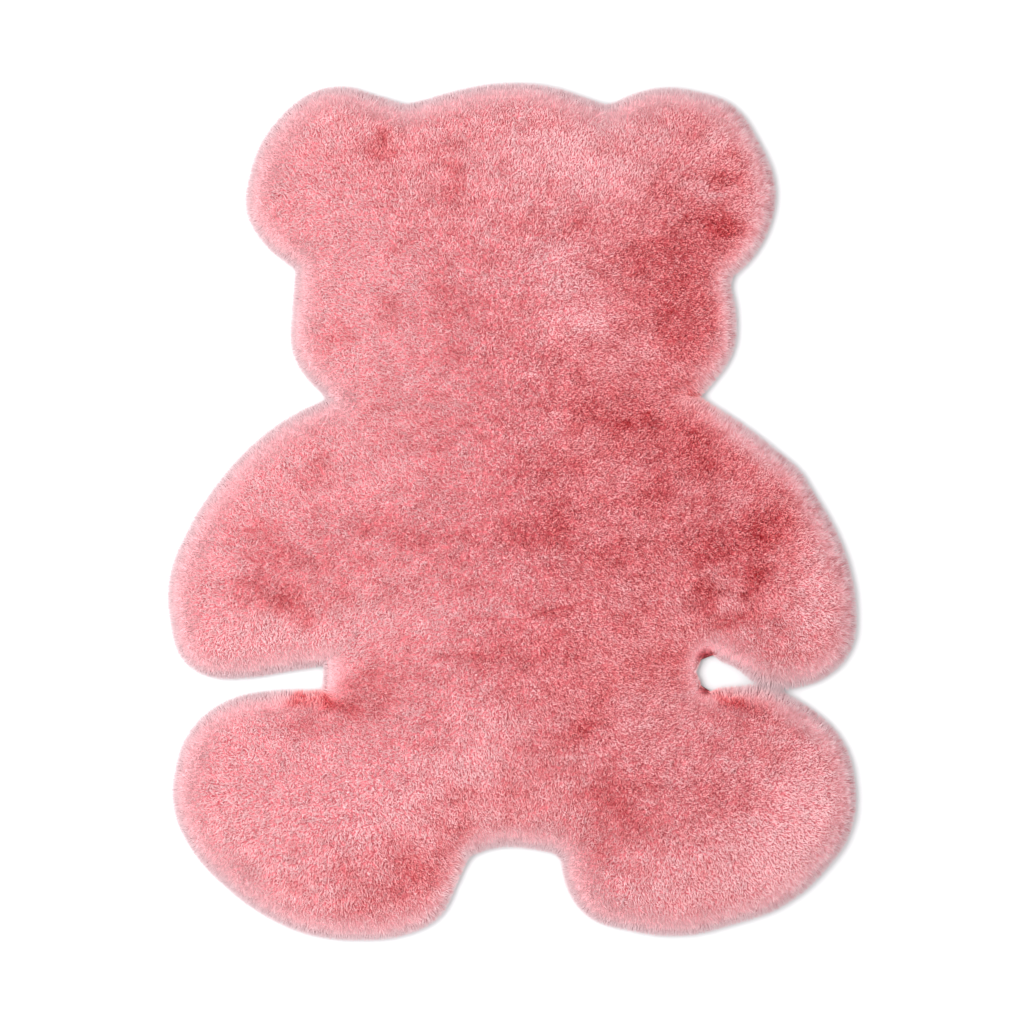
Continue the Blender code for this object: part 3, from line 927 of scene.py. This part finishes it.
def tuft_pattern():
    """One tuft: a slim three-sided spike, one high and one across, as points and faces."""
    select_nothing()
    bpy.ops.mesh.primitive_cone_add(vertices=3, radius1=0.5, radius2=0, depth=1, location=(0, 0, 0.5))
    spike = bpy.context.object
    bpy.ops.object.transform_apply(location=True)
    points = points_of(spike.data)
    faces = np.array([corner for face in spike.data.polygons for corner in face.vertices]).reshape(-1, 3)
    bpy.data.objects.remove(spike, do_unlink=True)
    return points, faces


def make_pile(name, pile, chosen, pattern, material):
    """One piece of the pile, with all the chosen tufts joined in one mesh."""
    points, faces = pattern
    base, tip = pile["base"][chosen], pile["tip"][chosen]
    heading = tip - base
    aside = unit(np.cross(heading, (0, 0, 1)))
    above = unit(np.cross(aside, heading))
    roll = random.uniform(-TUFT_ROLL, TUFT_ROLL, (len(base), 1))
    across = aside * np.cos(roll) + above * np.sin(roll)
    through = above * np.cos(roll) - aside * np.sin(roll)
    width = (pile["width"][chosen] * random.uniform(*TUFT_WIDTHS, len(base)))[:, None, None]
    x, y, z = (points[None, :, axis, None] for axis in (0, 1, 2))
    out = x * across[:, None] + y * TUFT_FLATNESS * through[:, None]
    placed = (base[:, None] + z * heading[:, None] + out * width).reshape(-1, 3)
    corners = faces[None] + np.arange(len(base))[:, None, None] * len(points)

    mesh = bpy.data.meshes.new(name)
    mesh.from_pydata(placed, [], corners.reshape(-1, 3))
    # The painted shade of parted pile, the rim's painted sheen, and each hair's tone with its painted
    # shade and sheen.
    for key in ("parted", "rim", "tint"):
        layer = mesh.attributes.new(key, "FLOAT", "POINT")
        layer.data.foreach_set("value", np.repeat(pile[key][chosen], len(points)))
    layer = mesh.attributes.new("along", "FLOAT", "POINT")
    layer.data.foreach_set("value", np.tile(points[:, 2], len(base)))
    mesh.materials.append(material)
    mesh.update()
    piece = bpy.data.objects.new(name, mesh)
    bpy.context.scene.collection.objects.link(piece)
    return piece


def make_piles():
    """The whole pile, in pieces of equally many tufts from the head down."""
    pile = lay_pile()
    order = np.argsort(-pile["base"][:, 1], kind="stable")
    pattern, material = tuft_pattern(), fur_material()
    shares = np.array_split(order, len(PILE_PIECES))
    return [make_pile(name, pile, share, pattern, material) for name, share in zip(PILE_PIECES, shares)]


# ------------------------------------------------------------------ floor, light and camera


def make_floor():
    """The board that the mat lies on."""
    select_nothing()
    bpy.ops.mesh.primitive_plane_add(size=FLOOR_SIZE, location=(0, 0, -FLOOR_BELOW))
    bpy.ops.object.transform_apply(location=True)
    floor = bpy.context.object
    floor.name = floor.data.name = "floor"
    floor.data.materials.append(floor_material())


def add_light(name, size, power, place):
    """A large soft light that faces the mat's middle."""
    light = bpy.data.lights.new(name, "AREA")
    light.shape = "DISK"
    light.size = size
    light.energy = power
    lamp = bpy.data.objects.new(name, light)
    bpy.context.scene.collection.objects.link(lamp)
    lamp.location = place
    lamp.rotation_euler = (-Vector(place)).to_track_quat("-Z", "Y").to_euler()


def light_scene():
    """Bright even light from all round, and a soft box to the left."""
    world = bpy.data.worlds.new("studio")
    world.use_nodes = True
    sky = world.node_tree.nodes["Background"]
    sky.inputs["Color"].default_value = linear("FFFFFF")
    sky.inputs["Strength"].default_value = SKY_STRENGTH
    bpy.context.scene.world = world
    add_light("soft_box", SOFT_BOX_SIZE, SOFT_BOX_POWER, SOFT_BOX_PLACE)
    bpy.context.scene.view_settings.view_transform = "Standard"


def set_camera():
    """Looks at the mat from straight above."""
    data = bpy.data.cameras.new("camera")
    data.sensor_width = SENSOR
    data.lens = SENSOR * VIEW_DISTANCE / VIEW_WIDTH
    camera = bpy.data.objects.new("camera", data)
    camera.location = (0, 0, VIEW_PLANE + VIEW_DISTANCE)
    bpy.context.scene.collection.objects.link(camera)
    bpy.context.scene.camera = camera


set_camera()
body = make_body()
piles = make_piles()
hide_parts(MAT)
for piece in (body, *piles):
    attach(piece, "root")
make_floor()
light_scene()
